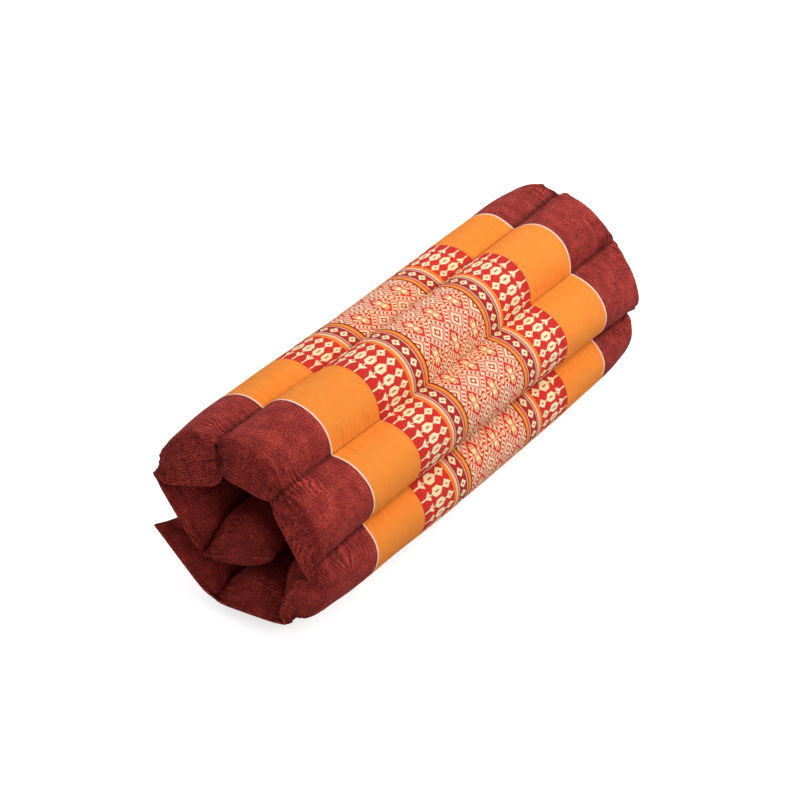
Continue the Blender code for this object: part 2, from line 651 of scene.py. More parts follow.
def dress(piece: bpy.types.Object, material: bpy.types.Material, slot: str) -> None:
    """Gives a finished piece its material, its body and its slot of the record.

    Args:
        piece: The piece.
        material: Its finish.
        slot: The record's material slot that the finish stands for.
    """
    piece.data.materials.clear()
    piece.data.materials.append(material)
    piece.data.shade_smooth()
    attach(piece, "root")
    LOG.info("%s: %d faces, %s", piece.name, len(piece.data.polygons), slot)


@dataclass
class Filling:
    """How the kapok fills the cloth: one simulation of both cloths as one closed bag.

    The slack is the share by which the cloth may stretch, at the roll's middle and at its
    ends. It changes over the tapered part, which is given by its distances from the middle.
    """

    pressure: float = 4.0
    frames: int = 20
    slack: Pair = (0.004, 0.008)
    tapered: Pair = (0.150, 0.235)
    quality: int = 6
    mass: float = 0.15
    stretch_stiffness: float = 40.0
    shear_stiffness: float = 10.0
    bending: float = 0.12
    damping: float = 10.0
    farthest: float = 0.003

    def add_groups(self, bag: bpy.types.Object, pinned: Array, points: Array) -> None:
        """Names the sewn points, which stay, and how taut the cloth is at each point.

        Args:
            bag: Both cloths as one closed mesh.
            pinned: Which of its points a seam holds.
            points: Its points.
        """
        pins = bag.vertex_groups.new(name="sewn")
        pins.add([int(index) for index in np.flatnonzero(pinned)], 1.0, "REPLACE")
        taut = bag.vertex_groups.new(name="taut")
        weights = 1 - smooth_step(np.abs(points[:, 1]), *self.tapered)
        for index, weight in enumerate(weights):
            taut.add([index], float(weight), "REPLACE")

    def cloth(self, bag: bpy.types.Object) -> bpy.types.Modifier:
        """Adds the simulation to the bag.

        Args:
            bag: Both cloths as one closed mesh, with its groups.

        Returns:
            The simulation.
        """
        cloth = bag.modifiers.new("filling", "CLOTH")
        settings = cloth.settings
        settings.quality = self.quality
        settings.mass = self.mass
        settings.tension_stiffness = self.stretch_stiffness
        settings.compression_stiffness = self.stretch_stiffness
        settings.shear_stiffness = self.shear_stiffness
        settings.bending_stiffness = self.bending
        settings.tension_damping = self.damping
        settings.compression_damping = self.damping
        settings.shear_damping = self.damping
        settings.use_pressure = True
        settings.uniform_pressure_force = self.pressure
        settings.vertex_group_mass = "sewn"
        settings.vertex_group_shrink = "taut"
        settings.shrink_max, settings.shrink_min = (-share for share in self.slack)
        settings.effector_weights.gravity = 0
        cloth.collision_settings.use_collision = False
        cloth.point_cache.frame_start = 1
        cloth.point_cache.frame_end = self.frames
        return cloth

    def fill(self, bag: bpy.types.Object, pinned: Array, points: Array) -> Array:
        """Fills the bag.

        Args:
            bag: Both cloths as one closed mesh.
            pinned: Which of its points a seam holds.
            points: Its points before it is filled.

        Returns:
            The filled points, none farther from its start than the limit.
        """
        self.add_groups(bag, pinned, points)
        cloth = self.cloth(bag)
        scene = bpy.context.scene
        for frame in range(1, self.frames + 1):
            scene.frame_set(frame)
        graph = bpy.context.evaluated_depsgraph_get()
        moved = read_points(bag.evaluated_get(graph).data) - points
        bag.modifiers.remove(cloth)
        scene.frame_set(1)
        distance = np.linalg.norm(moved, axis=1, keepdims=True)
        capped = self.farthest * np.tanh(distance / self.farthest)
        return points + moved * capped / np.maximum(distance, TINY)


@dataclass
class Gathers:
    """Folds that the seams draw into the cloth, finer than the filled form.

    The largest move the cloth itself. The finish shows the finer ones as relief, wherever
    the strengths say that a through seam or an end seam gathers the cloth. A reach is how
    far from its seam something dies away, and a hem is how far it stays flat beside it. A
    growth is how much of something there is, and how much more near an end or a corner. The
    free shares are what a free edge has of a seam's relief and depth. The seeds and turns
    set the folds of one seam or lobe apart from the next one's.
    """

    seam_depth: float = 0.0009
    depth_growth: Pair = (0.55, 1.6)
    seam_pitch: float = 0.0085
    seam_reach: float = 0.011
    seam_hem: float = 0.0018
    seam_seed: float = 7.3
    seam_drift: float = 0.8
    side_seed: float = 31.7
    deeper_reach: float = 0.028
    end_depth: float = 0.0017
    end_reach: float = 0.019
    end_hem: float = 0.006
    end_folds: float = 9.0
    end_turns: Pair = (2.1, 0.9)
    last_stitch: float = 0.016
    lump_depth: float = 0.0007
    lump_size: float = 0.055
    lump_seed: float = 11.0
    relief_reach: float = 0.045
    relief_power: float = 1.5
    relief_growth: Pair = (0.25, 0.75)
    reach_growth: Pair = (0.8, 1.2)
    free_shares: Pair = (0.3, 0.6)
    end_relief_reach: float = 0.012
    corner_reach: float = 0.016
    corner_growth: Pair = (0.3, 0.7)
    valley_reach: float = 0.0016
    trough_reach: float = 0.009

    def distances(self, cloth: Array, around: Array, half: float) -> tuple[Array, Array, Array]:
        """How far points are from the seams.

        Args:
            cloth: Places on the flat cloth.
            around: Channels around, for each point.
            half: Length of the cloth from its middle to an end seam.

        Returns:
            The distances from a through seam and from an end seam, and whether the former is
            a free edge.
        """
        seam = np.round(around)
        to_seam = np.abs(around - seam) * REPEAT
        to_end = np.maximum(half - np.abs(cloth[:, 1]), 0)
        return to_seam, to_end, (seam < 0.5) | (seam > around.max() - 0.5)

    def strengths(self, cloth: Array, around: Array, half: float) -> dict[str, Array]:
        """How strongly seams gather each point, and which points lie deep in a valley.

        Args:
            cloth: Places on the flat cloth.
            around: Channels around, for each point.
            half: Length of the cloth from its middle to an end seam.

        Returns:
            The strengths from 0 to 1, by the names that the finishes read.
        """
        to_seam, to_end, free_edge = self.distances(cloth, around, half)
        sewn = np.where(free_edge, 0.0, 1.0)
        near_end = np.exp(-to_end / self.relief_reach)
        reach = self.seam_reach * grown(self.reach_growth, near_end)
        by_seam = np.exp(-((to_seam / reach) ** self.relief_power))
        by_seam *= np.where(free_edge, self.free_shares[0], 1.0)
        corner = grown(self.corner_growth, np.exp(-to_seam / self.corner_reach))
        return {
            "seam_gather": by_seam * grown(self.relief_growth, near_end),
            "end_gather": np.exp(-to_end / self.end_relief_reach) * corner,
            # valley: where the finishes paint shade along a sewn seam
            "valley": np.exp(-to_seam / self.valley_reach) * sewn,
            # trough: where the cover paints the warm light that two lobes throw on each other
            "trough": np.exp(-((to_seam / self.trough_reach) ** 2)) * sewn,
        }

    def moves(self, cloth: Array, around: Array, along: Array, side: Array, half: float) -> Array:
        """How far each point moves along its normal.

        Args:
            cloth: Places on the flat cloth.
            around: Channels around, for each point.
            along: How far along the roll each point is.
            side: 1 on the cover and -1 on the backing.
            half: Length of the cloth from its middle to an end seam.

        Returns:
            The moves, in metres, outwards where they are positive.
        """
        to_seam, to_end, free_edge = self.distances(cloth, around, half)
        near_end = np.exp(-to_end / self.deeper_reach)
        depth = self.seam_depth * grown(self.depth_growth, near_end)
        depth *= np.where(free_edge, self.free_shares[1], 1.0)
        for share in (np.exp(-to_seam / self.seam_reach), 1 - np.exp(-to_seam / self.seam_hem)):
            depth *= share
        folds = np.empty(len(cloth))
        lumps = np.empty(len(cloth))
        for index, (place, count, face) in enumerate(zip(cloth, around, side)):
            track = round(float(count)) * self.seam_seed + float(face) * self.side_seed
            fold = (place[1] / self.seam_pitch, track, count * self.seam_drift)
            lump = (*(place / self.lump_size), float(face) * self.lump_seed)
            folds[index] = noise.noise(fold)
            lumps[index] = noise.noise(lump)
        to_stitch = to_end - self.last_stitch
        angle = np.arctan2(to_seam, to_stitch)
        reach = np.hypot(to_seam, to_stitch)
        by_seam, by_half = self.end_turns
        rays = np.cos(angle * self.end_folds + np.round(around) * by_seam
                      + np.sign(along) * by_half)
        rays *= np.exp(-((reach / self.end_reach) ** 2))
        for distance in (reach, to_end):
            rays *= 1 - np.exp(-((distance / self.end_hem) ** 2))
        rays *= np.where(free_edge, 0.0, 1.0)
        return depth * folds * 2 + self.end_depth * rays + self.lump_depth * lumps


@dataclass
class QuiltedMat:
    """The filled mat: one bag of two cloths, sewn through between its channels."""

    form: RollForm
    cut: ClothCut
    filling: Filling = field(default_factory=Filling)
    gathers: Gathers = field(default_factory=Gathers)
    cloth_thickness: float = 0.0006
    rest_softness: float = 0.0015

    def make_bag(self) -> bpy.types.Object:
        """Both cloths as one closed grid, wound into the roll but not yet filled.

        Returns:
            The bag, whose points carry their places on the mat.
        """
        cut = self.cut
        bag = bmesh.new()
        bmesh.ops.create_grid(bag, x_segments=cut.columns, y_segments=cut.rows, size=0.5)
        backing = set(bag.verts)
        bmesh.ops.extrude_face_region(bag, geom=list(bag.faces))
        bag.verts.index_update()

        # The grid's own X and Y, from -0.5 to 0.5, say where each point is on the flat mat.
        flat = np.array([point.co[:2] for point in bag.verts])
        columns = np.round((flat[:, 0] + 0.5) * cut.columns)
        around = cut.column_around(columns)
        along = cut.row_along(np.round((flat[:, 1] + 0.5) * cut.rows))
        side = np.array([-1.0 if point in backing else 1.0 for point in bag.verts])
        cloth = cut.cloth_places(around, along)
        points = self.form.points(around, along, side)

        crease = bag.edges.layers.float.new("crease_edge")
        for edge in bag.edges:
            first, last = (point.index for point in edge.verts)
            on_seam = columns[first] == columns[last] and columns[first] % cut.across == 0
            at_end = abs(along[first]) + abs(along[last]) > 2 - 10 * AT_END
            edge[crease] = 1.0 if on_seam or at_end else 0.0
        layer = bag.loops.layers.uv.new(CLOTH_UV)
        for face in bag.faces:
            for loop in face.loops:
                loop[layer].uv = cloth[loop.vert.index]
        for point, place in zip(bag.verts, points):
            point.co = place
        bmesh.ops.recalc_face_normals(bag, faces=list(bag.faces))
        if bag.calc_volume(signed=True) < 0:
            bmesh.ops.reverse_faces(bag, faces=list(bag.faces))
        mesh = new_mesh("bag", bag)
        write_numbers(mesh, {"around": around, "along": along, "side": side})
        return new_object("bag", mesh)

    def filled(self, bag: bpy.types.Object) -> Array:
        """Fills the bag, with its seams held.

        Args:
            bag: The bag.

        Returns:
            Its filled points, with the lobes kept apart.
        """
        points = read_points(bag.data)
        around, along, _ = read_places(bag.data)
        sewn = (np.abs(around - np.round(around)) < ON_SEAM) | (np.abs(along) > 1 - AT_END)
        filled = self.filling.fill(bag, sewn, points)
        moved = np.linalg.norm(filled - points, axis=1) * MILLIMETRES
        LOG.info("filling moved the cloth by %.1f mm at most, %.2f mm mostly",
                 moved.max(), np.median(moved))
        return self.form.lobes_apart(filled, around, along)

    def gathered(self, mesh: bpy.types.Mesh) -> Array:
        """Gathers the mat at its seams, and names how strongly for the finishes.

        Args:
            mesh: The filled and smoothed mat.

        Returns:
            Its gathered points, with the lobes kept apart.
        """
        around, along, side = read_places(mesh)
        cloth = self.cut.cloth_places(around, along)
        half = self.cut.half_length
        normals = np.empty(len(mesh.vertices) * 3)
        mesh.vertices.foreach_get("normal", normals)
        moves = self.gathers.moves(cloth, around, along, side, half)
        write_numbers(mesh, self.gathers.strengths(cloth, around, half))
        points = read_points(mesh) + normals.reshape(-1, 3) * moves[:, None]
        return self.form.lobes_apart(points, around, along)

    def rested(self, points: Array) -> Array:
        """Presses the lowest channel flat on the floor.

        Args:
            points: Rows of x, y and z.

        Returns:
            The points, none of them below the floor.
        """
        height = points[:, 2]
        soft = self.rest_softness
        pressed = soft * np.exp(np.minimum(height / soft - 1, 0))
        return np.column_stack((points[:, :2], np.where(height < soft, pressed, height)))

    def build(self) -> bpy.types.Mesh:
        """The filled, gathered and rested mat.

        Returns:
            Its mesh, with places and strengths that its points carry.
        """
        bag = self.make_bag()
        write_points(bag.data, self.filled(bag))
        smooth = bag.modifiers.new("smooth cloth", "SUBSURF")
        smooth.levels = 1
        smooth.render_levels = 1
        mesh = applied(bag, "filled_mat")
        write_points(mesh, self.rested(self.gathered(mesh)))
        return mesh

    def split(self, mesh: bpy.types.Mesh, side: Side, name: str) -> bpy.types.Object:
        """One cloth of the mat as a piece of its own, with the cloth's thickness inwards.

        Args:
            mesh: The filled mat.
            side: Which cloth. The cover takes the narrow faces between the two.
            name: The piece's name.

        Returns:
            The piece.
        """
        half = bmesh.new()
        half.from_mesh(mesh)
        layer = half.verts.layers.float["side"]
        others = []
        for face in half.faces:
            mean = sum(point[layer] for point in face.verts) / len(face.verts)
            if (mean > Side.BACKING.value / 2) != (side is Side.COVER):
                others.append(face)
        bmesh.ops.delete(half, geom=others, context="FACES")
        piece = new_object(name, new_mesh(name, half))
        thickness = piece.modifiers.new("cloth thickness", "SOLIDIFY")
        thickness.thickness = self.cloth_thickness
        thickness.offset = -1
        thickness.use_even_offset = False
        return piece


@dataclass
class SeamStitching:
    """The running stitches of the seams that are sewn through the mat.

    The taper gives a stitch's thickness at its points, from one end of it to the other.
    """

    form: RollForm
    pitch: float = 0.0036
    length: float = 0.0026
    thickness: float = 0.0006
    sunk: float = 0.0001
    facets: int = 1
    taper: tuple[Pair, ...] = ((-0.5, 0.4), (-0.3, 1.0), (0.3, 1.0), (0.5, 0.4))

    def seam_line(self, mesh: bpy.types.Mesh, index: int, side: Side) -> Array:
        """The line of one seam on one cloth.

        Args:
            mesh: The filled mat.
            index: Which seam.
            side: Which cloth.

        Returns:
            Its points, from the near end to the far one.
        """
        around, along, face = read_places(mesh)
        on_seam = (np.abs(around - index) < ON_SEAM) & (np.abs(face - side.value) < ON_CLOTH)
        points = read_points(mesh)[on_seam]
        return points[np.argsort(along[on_seam])]

    def add_seam(self, thread: bpy.types.Curve, line: Array, index: int, side: Side) -> None:
        """Adds the stitches of one seam, each a short run of thread with thinner ends.

        Args:
            thread: The curve of all stitches.
            line: Points of the seam, from end to end.
            index: Which seam.
            side: Which cloth.
        """
        reached = line_lengths(line)
        middles = np.arange(1, int(reached[-1] / self.pitch)) * self.pitch
        shares = np.array([share for share, _ in self.taper])
        places = (middles[:, None] + shares * self.length).ravel()
        points = np.stack([np.interp(places, reached, line[:, axis]) for axis in range(3)], axis=1)
        along = np.clip(points[:, 1] / (self.form.length / 2), -1, 1)
        normals = self.form.seam_normals(np.full(len(points), index), along) * side.value
        points[:, (0, 2)] += normals * (self.thickness / 2 - self.sunk)
        count = len(self.taper)
        for first in range(0, len(points), count):
            run = thread.splines.new("POLY")
            run.points.add(count - 1)
            for point, place, (_, radius) in zip(run.points, points[first:], self.taper):
                point.co = (*place, 1)
                point.radius = radius

    def build(self, mesh: bpy.types.Mesh, name: str) -> bpy.types.Object:
        """All stitches of both cloths as one piece.

        Args:
            mesh: The filled mat.
            name: The piece's name.

        Returns:
            The stitches, each a short rounded length of thread in its valley.
        """
        thread = round_line(name, self.thickness, self.facets)
        thread.use_fill_caps = True
        for index in range(1, len(self.form.channels)):
            for side in Side:
                self.add_seam(thread, self.seam_line(mesh, index, side), index, side)
        own = applied(new_object(name + "_line", thread), name)
        close_seams(own)
        return new_object(name, own)


@dataclass
class TurnedEdge:
    """The folded edge where the two cloths are closed, all round the mat."""

    form: RollForm
    thickness: float = 0.0019
    facets: int = 2

    def rim(self, mesh: bpy.types.Mesh) -> Array:
        """The line between the two cloths.

        Args:
            mesh: The filled mat.

        Returns:
            Its points, in order round the mat.
        """
        around, along, side = read_places(mesh)
        points = read_points(mesh)
        last = len(self.form.channels)
        middle = np.abs(side) < 0.5
        runs = ((along < AT_END - 1, around), (around > last - ON_SEAM, along),
                (along > 1 - AT_END, -around), (around < ON_SEAM, -along))
        parts = []
        for here, order in runs:
            chosen = np.flatnonzero(middle & here)
            parts.append(points[chosen[np.argsort(order[chosen])]][:-1])
        return np.concatenate(parts)

    def build(self, mesh: bpy.types.Mesh, name: str) -> bpy.types.Object:
        """The edge as one closed piece.

        Args:
            mesh: The filled mat.
            name: The piece's name.

        Returns:
            A thin roll of cloth that follows the mat's edge.
        """
        rim = self.rim(mesh)
        line = round_line(name, self.thickness, self.facets)
        run = line.splines.new("POLY")
        run.points.add(len(rim) - 1)
        run.points.foreach_set("co", np.column_stack((rim, np.ones(len(rim)))).ravel())
        run.use_cyclic_u = True
        own = applied(new_object(name + "_line", line), name)
        points = read_points(own)
        points[:, 2] = np.maximum(points[:, 2], 0.0)
        write_points(own, points)
        return new_object(name, own)


def linear(red: int, green: int, blue: int) -> Colour:
    """A colour of a screen, by the usual curve of screens, as the cloth's own.

    Args:
        red: Red from 0 to 255, as it shows in the studio's light.
        green: Green.
        blue: Blue.

    Returns:
        The shader's linear values.
    """
    shares = [value / 255 for value in (red, green, blue)]
    return tuple(CLOTH_SHARE * (share / 12.92 if share <= 0.04045
                                else ((share + 0.055) / 1.055) ** 2.4) for share in shares)


def step(operation: str, meaning: str) -> Callable[..., "Signal"]:
    """Makes a method of Signal that is one step of arithmetic.

    Args:
        operation: What the step's math node does.
        meaning: What the method gives.

    Returns:
        The method. It takes the signal and, where the step needs it, one more number.
    """
    def method(self: "Signal", *others: "Signal | float") -> "Signal":
        """One step of arithmetic."""
        return self.wiring.math(operation, self, *others)

    method.__doc__ = meaning
    return method


@dataclass(frozen=True)
class Signal:
    """A number that changes over the cloth, and the arithmetic that patterns are made of.

    A mask is 1 where it is on and 0 elsewhere: its product is where two are both on, and |
    is where either is.
    """

    wiring: "Wiring"
    socket: bpy.types.NodeSocket

    __add__ = step("ADD", "The sum.")
    __sub__ = step("SUBTRACT", "The difference.")
    __mul__ = step("MULTIPLY", "The product.")
    __truediv__ = step("DIVIDE", "The quotient.")
    __or__ = step("MAXIMUM", "The larger of two numbers.")
    smaller = step("MINIMUM", "The smaller of two numbers.")
    size = step("ABSOLUTE", "The number without its sign.")
    floor = step("FLOOR", "The whole number below.")
    fraction = step("FRACT", "What is over a whole number.")
    below = step("LESS_THAN", "1 below a limit, and 0 above it.")
    above = step("GREATER_THAN", "1 above a limit, and 0 below it.")
    wave = step("SINE", "The sine.")

    def __rsub__(self, other: float) -> "Signal":
        """The difference from a plain number."""
        return self.wiring.math("SUBTRACT", other, self)

    def within(self, low: float, high: float) -> "Signal":
        """1 between two limits, and 0 outside them."""
        return self.above(low) * self.below(high)

    def folded(self, pitch: float) -> "Signal":
        """How far it is to the middle of the repeat that it lies in."""
        return ((self / pitch).fraction() - 0.5).size() * pitch

    def in_threads(self, pitch: float) -> "Signal":
        """The number in steps of a thread's pitch, each at the middle of its thread."""
        return ((self / pitch).floor() + 0.5) * pitch


@dataclass(frozen=True)
class Lumps:
    """Soft random shade: how many lumps a metre has, and how finely they are broken up.

    The reach is how far they sway what they are added to.
    """

    scale: float
    detail: float = 2.0
    reach: float = 1.0


@dataclass(frozen=True)
class Wiring:
    """Lays nodes in one shader tree and joins them."""

    tree: bpy.types.NodeTree

    def feed(self, socket: bpy.types.NodeSocket, value: object) -> None:
        """Joins a signal or a socket to an input, or sets the input to a plain value.

        Args:
            socket: The input.
            value: What it is fed with.
        """
        if isinstance(value, Signal):
            value = value.socket
        if isinstance(value, bpy.types.NodeSocket):
            self.tree.links.new(value, socket)
        elif isinstance(value, tuple) and socket.type == "RGBA":
            socket.default_value = (*value, 1.0)
        else:
            socket.default_value = value

    def node(self, kind: str, **inputs: object) -> bpy.types.Node:
        """A new node with some of its inputs fed.

        Args:
            kind: The node's type.
            inputs: What its inputs are fed with, named as in the editor, with _ for a space.

        Returns:
            The node.
        """
        node = self.tree.nodes.new(kind)
        names = {socket.name.replace(" ", "_"): socket for socket in reversed(node.inputs)}
        for name, value in inputs.items():
            self.feed(names[name], value)
        return node

    def math(self, operation: str, *values: "Signal | float") -> Signal:
        """One step of arithmetic.

        Args:
            operation: What the math node does.
            values: Its inputs, in order.

        Returns:
            The result.
        """
        node = self.tree.nodes.new("ShaderNodeMath")
        node.operation = operation
        for socket, value in zip(node.inputs, values):
            self.feed(socket, value)
        return Signal(self, node.outputs[0])

    def shaded(self, colour: object, factor: "Signal | Colour") -> bpy.types.NodeSocket:
        """A colour made darker or lighter.

        Args:
            colour: The colour.
            factor: By how much, or by how much in red, green and blue.

        Returns:
            The colour, multiplied.
        """
        tint = isinstance(factor, tuple)
        node = self.tree.nodes.new("ShaderNodeVectorMath")
        node.operation = "MULTIPLY" if tint else "SCALE"
        self.feed(node.inputs[0], colour)
        self.feed(node.inputs[1] if tint else node.inputs["Scale"], factor)
        return node.outputs[0]

    def colour(self, share: object, first: object, second: object) -> bpy.types.NodeSocket:
        """A colour between two.

        Args:
            share: How far it is from the first to the second.
            first: The colour where the share is 0.
            second: The colour where the share is 1.

        Returns:
            The colour.
        """
        node = self.tree.nodes.new("ShaderNodeMix")
        node.data_type = "RGBA"
        for place, value in ((0, share), (6, first), (7, second)):
            self.feed(node.inputs[place], value)
        return node.outputs[2]

    def layered(self, colour: object, *layers: tuple[object, object]) -> bpy.types.NodeSocket:
        """A colour with others laid over it in turn.

        Args:
            colour: The lowest colour.
            layers: The mask that shows each layer, and its colour.

        Returns:
            The colour on top.
        """
        for mask, layer in layers:
            colour = self.colour(mask, colour, layer)
        return colour

    def attribute(self, name: str) -> Signal:
        """A number that the piece's points carry.

        Args:
            name: The number's name.

        Returns:
            The number.
        """
        node = self.tree.nodes.new("ShaderNodeAttribute")
        node.attribute_name = name
        return Signal(self, node.outputs["Fac"])

    def cloth_place(self) -> bpy.types.NodeSocket:
        """The place on the flat cloth.

        Returns:
            The place, in metres around the roll and along it.
        """
        node = self.tree.nodes.new("ShaderNodeUVMap")
        node.uv_map = CLOTH_UV
        return node.outputs[0]

    def parts(self, vector: bpy.types.NodeSocket) -> tuple[Signal, Signal, Signal]:
        """The three numbers of a vector."""
        node = self.node("ShaderNodeSeparateXYZ", Vector=vector)
        return tuple(Signal(self, socket) for socket in node.outputs)

    def vector(self, x: object, y: object, z: object = 0.0) -> bpy.types.NodeSocket:
        """A vector of three numbers."""
        return self.node("ShaderNodeCombineXYZ", X=x, Y=y, Z=z).outputs[0]

    def cloud(self, vector: bpy.types.NodeSocket, lumps: Lumps) -> Signal:
        """Soft random shade.

        Args:
            vector: The place.
            lumps: How many lumps it has, and how fine.

        Returns:
            The shade, from 0 to 1.
        """
        node = self.node("ShaderNodeTexNoise", Vector=vector, Scale=lumps.scale,
                         Detail=lumps.detail)
        return Signal(self, node.outputs[0])

    def sway(self, vector: bpy.types.NodeSocket, lumps: Lumps) -> Signal:
        """A soft random length, as often below 0 as above it."""
        return (self.cloud(vector, lumps) - 0.5) * lumps.reach

    def chance(self, x: Signal, y: "Signal | float") -> Signal:
        """A random number from 0 to 1 for each pair of numbers.

        Args:
            x: The first number.
            y: The second number.

        Returns:
            The random number.
        """
        node = self.tree.nodes.new("ShaderNodeTexWhiteNoise")
        node.noise_dimensions = "2D"
        self.feed(node.inputs["Vector"], self.vector(x, y))
        return Signal(self, node.outputs["Value"])

    def rise(self, value: Signal, low: float, high: float) -> Signal:
        """Goes softly from 0 at low to 1 at high.

        Args:
            value: The number that rises.
            low: Where the result starts to rise.
            high: Where it has risen.

        Returns:
            The result.
        """
        node = self.node("ShaderNodeMapRange", Value=value, From_Min=low, From_Max=high)
        node.interpolation_type = "SMOOTHSTEP"
        return Signal(self, node.outputs[0])


class Effect:
    """A shader node group that more than one finish can use, built once."""

    name = ""
    inputs: dict[str, str] = {"Cloth": VECTOR}
    outputs: dict[str, str] = {"Color": COLOUR, "Raised": NUMBER}
    built: dict[str, bpy.types.NodeTree] = {}

    def draw(self, wiring: Wiring, given: bpy.types.Node) -> dict[str, object]:
        """Lays the group's nodes.

        Args:
            wiring: The group's tree.
            given: The group's inputs.

        Returns:
            What each of its outputs is fed with.
        """
        raise NotImplementedError

    def group(self) -> bpy.types.NodeTree:
        """The group's tree, made when it is first asked for.

        Returns:
            The tree.
        """
        if self.name not in Effect.built:
            tree = bpy.data.node_groups.new(self.name, "ShaderNodeTree")
            for way, sockets in (("INPUT", self.inputs), ("OUTPUT", self.outputs)):
                for name, kind in sockets.items():
                    tree.interface.new_socket(name, in_out=way, socket_type=kind)
            wiring = Wiring(tree)
            results = self.draw(wiring, tree.nodes.new("NodeGroupInput"))
            ending = tree.nodes.new("NodeGroupOutput")
            for name, value in results.items():
                wiring.feed(ending.inputs[name], value)
            Effect.built[self.name] = tree
        return Effect.built[self.name]

    def place(self, wiring: Wiring, **values: object) -> dict[str, Signal]:
        """Lays the group in another tree.

        Args:
            wiring: The other tree.
            values: What the group's inputs are fed with, with _ for a space.

        Returns:
            The group's outputs, by name.
        """
        node = wiring.tree.nodes.new("ShaderNodeGroup")
        node.node_tree = self.group()
        node.name = self.name
        for name, value in values.items():
            wiring.feed(node.inputs[name.replace("_", " ")], value)
        return {socket.name: Signal(wiring, socket) for socket in node.outputs}


class PlainWeave(Effect):
    """Threads over and under each other, with small differences from thread to thread."""

    name = "plain weave"
    inputs = {"Cloth": VECTOR, "Pitch": NUMBER}
    outputs = {"Height": NUMBER, "Shade": NUMBER}
    waver = Lumps(60.0, reach=0.0012)
    warp_seed = 3.0
    weft_seed = 11.0

    def draw(self, wiring: Wiring, given: bpy.types.Node) -> dict[str, object]:
        """Lays the group's nodes.

        Args:
            wiring: The group's tree.
            given: The group's inputs.

        Returns:
            The rounding of the threads, and the shade of the one on top.
        """
        u, v, _ = wiring.parts(given.outputs["Cloth"])
        pitch = Signal(wiring, given.outputs["Pitch"])
        waver = wiring.sway(given.outputs["Cloth"], self.waver)
        across = (u + waver) / pitch
        along = (v + waver) / pitch
        warp_up = (((across.floor() + along.floor()) * 0.5).fraction() * 2.0).below(0.5)
        rounding = (across.fraction() * math.pi).wave() * (along.fraction() * math.pi).wave()
        warp_tone = wiring.chance(across.floor(), self.warp_seed)
        weft_tone = wiring.chance(along.floor(), self.weft_seed)
        shade = warp_up * warp_tone + (1.0 - warp_up) * weft_tone
        return {"Height": rounding, "Shade": shade}


@dataclass(frozen=True)
class ShotColours:
    """Colours of the shot cloth, whose two sets of threads differ."""

    red: Colour = linear(164, 43, 39)
    bright: Colour = linear(231, 82, 68)
    dark: Colour = linear(32, 21, 22)


class ShotCloth(Effect):
    """Dark red and black cloth, in fine ribs that bend and waver over its surface.

    The broad ribs show only in clearings. Patches and the threads' own shade make the red
    brighter, and ribs, flecks and speckles say where the dark threads come up.
    """

    name = "shot cloth"
    outputs = {"Color": COLOUR, "Height": NUMBER}
    colours = ShotColours()
    rib = 0.0024
    fine_rib = 0.0012
    thread = 0.00062
    slant = 0.15
    bend = Lumps(26.0, 0.0, 0.034)
    waver = Lumps(260.0, 1.0, 0.0016)
    clearings = Lumps(22.0, 0.0)
    clearing_range = (0.46, 0.66)
    speckles = Lumps(1100.0, 1.0)
    patches = Lumps(75.0)
    patch_range = (0.35, 0.7)
    rib_depths = (0.42, 0.25)
    bright_weights = (0.45, 0.40)
    relief_weights = (0.7, 0.5)
    dark_weights = (0.50, 0.45, 0.70)
    dark_range = (0.58, 1.06)
    dark_share = 0.86

    def draw(self, wiring: Wiring, given: bpy.types.Node) -> dict[str, object]:
        """Lays the group's nodes.

        Args:
            wiring: The group's tree.
            given: The group's inputs.

        Returns:
            The cloth's colour and its relief.
        """
        cloth = given.outputs["Cloth"]
        u, v, w = wiring.parts(cloth)
        waver = wiring.sway(cloth, self.waver)
        course = v + w + u * self.slant + wiring.sway(cloth, self.bend) + waver
        clear = wiring.rise(wiring.cloud(cloth, self.clearings), *self.clearing_range)
        broad_depth, fine_depth = self.rib_depths
        broad = (course * (2 * math.pi / self.rib)).wave() * (clear * broad_depth)
        fine = ((v + w + waver) * (2 * math.pi / self.fine_rib)).wave() * fine_depth
        ribs = broad + fine + 0.5
        weave = PlainWeave().place(wiring, Cloth=cloth, Pitch=self.thread)
        fleck = wiring.chance((u / self.thread).floor(), (v / self.thread).floor())
        by_rib, by_fleck, by_speckle = self.dark_weights
        dark = ribs * by_rib + fleck * by_fleck + wiring.cloud(cloth, self.speckles) * by_speckle
        patch = wiring.rise(wiring.cloud(cloth, self.patches), *self.patch_range)
        by_patch, by_shade = self.bright_weights
        colour = wiring.layered(
            self.colours.red,
            (patch * by_patch + weave["Shade"] * by_shade, self.colours.bright),
            (wiring.rise(dark, *self.dark_range) * self.dark_share, self.colours.dark))
        by_weave, by_ribs = self.relief_weights
        return {"Color": colour, "Height": weave["Height"] * by_weave + ribs * by_ribs}


